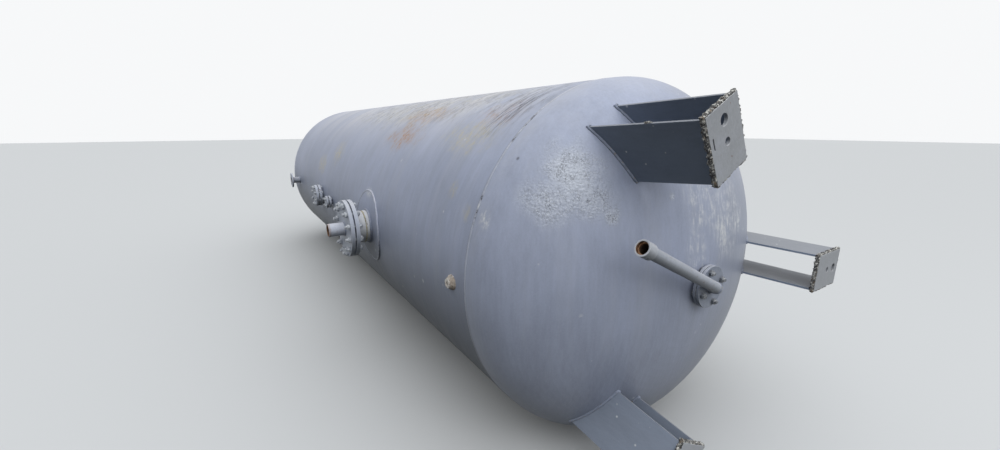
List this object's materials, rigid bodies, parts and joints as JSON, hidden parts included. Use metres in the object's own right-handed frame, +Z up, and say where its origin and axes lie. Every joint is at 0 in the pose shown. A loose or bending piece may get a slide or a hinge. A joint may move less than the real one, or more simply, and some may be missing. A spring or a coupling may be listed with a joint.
{
  "type": "air receiver lying on its side",
  "caption": "Welded steel pressure vessel with domed ends, made to stand on legs at one end and now lying on its side, with flanged side branches, a gauge socket and a bent drain pipe.",
  "frame": {"origin": "on the ground, in the middle of the overall length and width", "axes": "+X along the vessel towards the end with the legs and the drain, +Z up, side branches towards -Y"},
  "size_m": [6.134, 2.0668, 1.8026],
  "materials": {
    "shell_paint": "weathered blue-grey paint",
    "head_paint": "weathered, blistered blue-grey paint",
    "leg_paint": "dark slate paint",
    "foot_paint": "worn grey paint with flame-cut edges",
    "rough_weld": "rough, rusty weld metal",
    "flange_paint": "worn grey paint",
    "pipe_paint": "worn grey paint",
    "rusty_pipe": "paint worn off to light rust",
    "bolt_steel": "dull galvanised",
    "gasket": "dark, weathered",
    "bare_socket": "bare, dull, rust-stained"
  },
  "bodies": {
    "root": {"shell": "shell_paint", "legged_end_head": "head_paint", "plain_end_head": "head_paint", "legged_end_seam_weld": "shell_paint", "plain_end_seam_weld": "shell_paint", "top_leg_near_plate": "leg_paint", "top_leg_far_plate": "leg_paint", "top_leg_foot": "foot_paint", "top_leg_welds": "rough_weld", "low_leg_near_plate": "leg_paint", "low_leg_far_plate": "leg_paint", "low_leg_foot": "foot_paint", "low_leg_welds": "rough_weld", "back_leg_near_plate": "leg_paint", "back_leg_far_plate": "leg_paint", "back_leg_foot": "foot_paint", "back_leg_welds": "rough_weld", "main_branch_pad": "shell_paint", "main_branch_neck": "pipe_paint", "main_branch_welds": "rough_weld", "main_branch_flange": "flange_paint", "main_branch_gasket": "gasket", "main_branch_cover": "flange_paint", "main_branch_stub": "rusty_pipe", "main_branch_bolts": "bolt_steel", "second_branch_neck": "flange_paint", "second_branch_gasket": "gasket", "second_branch_cover": "flange_paint", "second_branch_bolts": "bolt_steel", "small_branch_neck": "flange_paint", "small_branch_gasket": "gasket", "small_branch_cover": "flange_paint", "small_branch_bolts": "bolt_steel", "open_branch_neck": "rusty_pipe", "open_branch_flange": "flange_paint", "gauge_socket": "bare_socket", "drain_neck": "pipe_paint", "drain_fixed_flange": "flange_paint", "drain_gasket": "gasket", "drain_loose_flange": "flange_paint", "drain_elbow": "pipe_paint", "drain_pipe": "pipe_paint", "drain_coupling": "rusty_pipe", "drain_bolts": "bolt_steel"}
  },
  "joints": []
}
